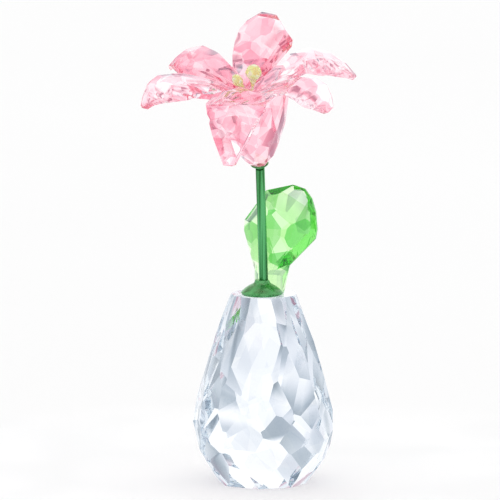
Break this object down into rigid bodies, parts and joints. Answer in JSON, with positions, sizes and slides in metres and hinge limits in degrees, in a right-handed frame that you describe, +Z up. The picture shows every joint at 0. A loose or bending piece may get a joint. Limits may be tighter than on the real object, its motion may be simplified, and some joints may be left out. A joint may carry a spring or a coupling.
{
  "type": "cut crystal lily ornament",
  "caption": "Cut-crystal lily with pink petals, yellow stamens, a green metal stem and a green crystal leaf, standing on a solid faceted clear vase.",
  "frame": {"origin": "centre of the vase's flat base, on the surface that it stands on", "axes": "+Z up the vase and stem, +X to the right of the front view, -Y the front, which the bloom leans towards"},
  "size_m": [0.0472, 0.041, 0.1043],
  "materials": {
    "clear_crystal": "clear cut crystal, polished facets",
    "pink_crystal": "pink cut crystal, polished facets",
    "green_crystal": "green cut crystal, polished facets",
    "yellow_crystal": "yellow-green cut crystal, polished facets",
    "green_metal": "green lacquer on metal, satin gloss"
  },
  "bodies": {
    "root": {"vase": "clear_crystal", "collar": "green_metal", "stem": "green_metal", "calyx_cup": "green_metal", "receptacle": "pink_crystal", "petal_back": "pink_crystal", "petal_left_back": "pink_crystal", "petal_left_front": "pink_crystal", "petal_front": "pink_crystal", "petal_right_front": "pink_crystal", "petal_right_back": "pink_crystal", "stamen_long": "yellow_crystal", "stamen_short": "yellow_crystal", "leaf": "green_crystal"}
  },
  "joints": []
}
